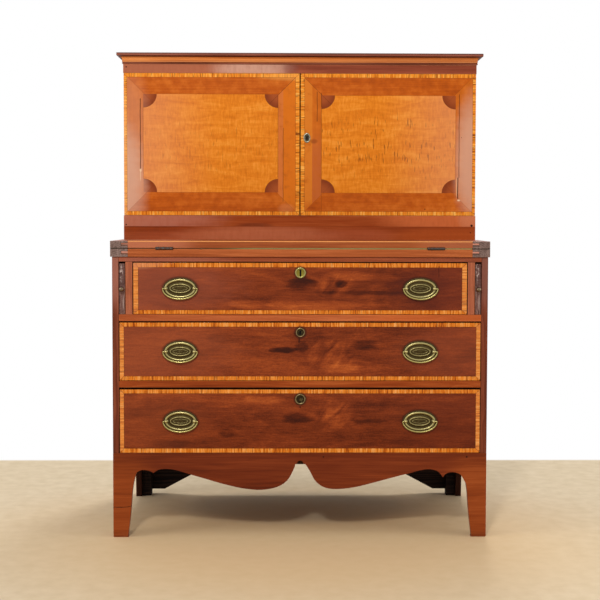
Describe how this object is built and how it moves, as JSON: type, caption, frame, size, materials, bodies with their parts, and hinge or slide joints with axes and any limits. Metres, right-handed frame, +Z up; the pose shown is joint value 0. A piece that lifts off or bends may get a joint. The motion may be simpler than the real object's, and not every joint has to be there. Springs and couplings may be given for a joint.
{
  "type": "writing cabinet",
  "caption": "Writing cabinet with drawers below, a fold-out writing leaf on pull-out supports, and a set-back upper case with doors over pigeonholes.",
  "frame": {"origin": "on the floor, under the middle of the bounding box", "axes": "+Z up, -Y towards the front with the doors and drawers, +X to the right as seen from the front"},
  "size_m": [1.0742, 0.5582, 1.372],
  "materials": {
    "side_wood": "waxed mahogany, plain grain",
    "rail_wood": "polished mahogany rails",
    "apron_wood": "polished mahogany",
    "drawer_wood": "figured mahogany veneer with striped maple banding, polished",
    "door_wood": "flame maple field in mahogany borders with maple banding, polished",
    "top_wood": "polished mahogany",
    "end_grain": "end grain, worn wax",
    "cornice_wood": "polished mahogany moulding",
    "loper_wood": "worn mahogany",
    "inner_wood": "bare pine, aged",
    "back_wood": "bare pine, dark with age",
    "brass": "aged brass with dark recesses",
    "bronze": "dark patinated brass",
    "iron": "dark wrought iron"
  },
  "bodies": {
    "carcass": {"left_side": "side_wood", "right_side": "side_wood", "upper_left_side": "side_wood", "upper_right_side": "side_wood", "left_loper_divider": "rail_wood", "right_loper_divider": "rail_wood", "top_frame": "rail_wood", "upper_drawer_frame": "rail_wood", "middle_drawer_frame": "rail_wood", "base_rail": "rail_wood", "frieze_rail": "rail_wood", "front_apron": "apron_wood", "writing_slab": "top_wood", "slab_left_cleat": "end_grain", "slab_right_cleat": "end_grain", "cornice": "cornice_wood", "case_bottom": "inner_wood", "top_board": "inner_wood", "pigeonholes": "inner_wood", "rear_left_foot": "back_wood", "rear_right_foot": "back_wood", "chest_back": "back_wood", "upper_back": "back_wood", "left_fold_hinge_slab_flap": "iron", "right_fold_hinge_slab_flap": "iron", "left_door_upper_pivot": "iron", "left_door_lower_pivot": "iron", "right_door_upper_pivot": "iron", "right_door_lower_pivot": "iron"},
    "writing_leaf": {"writing_leaf": "top_wood", "leaf_left_cleat": "end_grain", "leaf_right_cleat": "end_grain", "left_fold_hinge_leaf_flap": "iron", "right_fold_hinge_leaf_flap": "iron"},
    "left_door": {"left_door": "door_wood"},
    "right_door": {"right_door": "door_wood", "door_escutcheon": "bronze"},
    "left_loper": {"left_loper": "loper_wood"},
    "right_loper": {"right_loper": "loper_wood"},
    "lower_drawer": {"lower_drawer_front": "drawer_wood", "lower_drawer_box": "inner_wood", "lower_drawer_escutcheon": "bronze", "lower_drawer_left_plate": "brass", "lower_drawer_right_plate": "brass"},
    "lower_left_bail": {"lower_drawer_left_bail": "brass"},
    "lower_right_bail": {"lower_drawer_right_bail": "brass"},
    "middle_drawer": {"middle_drawer_front": "drawer_wood", "middle_drawer_box": "inner_wood", "middle_drawer_escutcheon": "bronze", "middle_drawer_left_plate": "brass", "middle_drawer_right_plate": "brass"},
    "middle_left_bail": {"middle_drawer_left_bail": "brass"},
    "middle_right_bail": {"middle_drawer_right_bail": "brass"},
    "upper_drawer": {"upper_drawer_front": "drawer_wood", "upper_drawer_box": "inner_wood", "upper_drawer_escutcheon": "brass", "upper_drawer_left_plate": "brass", "upper_drawer_right_plate": "brass"},
    "upper_left_bail": {"upper_drawer_left_bail": "brass"},
    "upper_right_bail": {"upper_drawer_right_bail": "brass"}
  },
  "joints": [
    {"name": "leaf_fold", "type": "hinge", "parent": "carcass", "child": "writing_leaf", "pos_m": [0, -0.2664, 0.8054], "axis": [1, 0, 0], "range_deg": [0, 180]},
    {"name": "left_door_swing", "type": "hinge", "parent": "carcass", "child": "left_door", "pos_m": [-0.5148, -0.0159, 1.1], "axis": [0, 0, -1], "range_deg": [0, 110]},
    {"name": "right_door_swing", "type": "hinge", "parent": "carcass", "child": "right_door", "pos_m": [0.5148, -0.0159, 1.1], "axis": [0, 0, 1], "range_deg": [0, 110]},
    {"name": "left_loper_slide", "type": "slide", "parent": "carcass", "child": "left_loper", "axis": [0, -1, 0], "range_m": [0, 0.2]},
    {"name": "right_loper_slide", "type": "slide", "parent": "carcass", "child": "right_loper", "axis": [0, -1, 0], "range_m": [0, 0.2]},
    {"name": "lower_drawer_slide", "type": "slide", "parent": "carcass", "child": "lower_drawer", "axis": [0, -1, 0], "range_m": [0, 0.35]},
    {"name": "lower_left_bail_swing", "type": "hinge", "parent": "lower_drawer", "child": "lower_left_bail", "pos_m": [-0.3325, -0.2688, 0.32542], "axis": [-1, 0, 0], "range_deg": [0, 90]},
    {"name": "lower_right_bail_swing", "type": "hinge", "parent": "lower_drawer", "child": "lower_right_bail", "pos_m": [0.3325, -0.2688, 0.32542], "axis": [-1, 0, 0], "range_deg": [0, 90]},
    {"name": "middle_drawer_slide", "type": "slide", "parent": "carcass", "child": "middle_drawer", "axis": [0, -1, 0], "range_m": [0, 0.35]},
    {"name": "middle_left_bail_swing", "type": "hinge", "parent": "middle_drawer", "child": "middle_left_bail", "pos_m": [-0.3325, -0.2688, 0.51957], "axis": [-1, 0, 0], "range_deg": [0, 90]},
    {"name": "middle_right_bail_swing", "type": "hinge", "parent": "middle_drawer", "child": "middle_right_bail", "pos_m": [0.3325, -0.2688, 0.51957], "axis": [-1, 0, 0], "range_deg": [0, 90]},
    {"name": "upper_drawer_slide", "type": "slide", "parent": "carcass", "child": "upper_drawer", "axis": [0, -1, 0], "range_m": [0, 0.35]},
    {"name": "upper_left_bail_swing", "type": "hinge", "parent": "upper_drawer", "child": "upper_left_bail", "pos_m": [-0.3325, -0.2688, 0.69472], "axis": [-1, 0, 0], "range_deg": [0, 90]},
    {"name": "upper_right_bail_swing", "type": "hinge", "parent": "upper_drawer", "child": "upper_right_bail", "pos_m": [0.3325, -0.2688, 0.69472], "axis": [-1, 0, 0], "range_deg": [0, 90]}
  ]
}
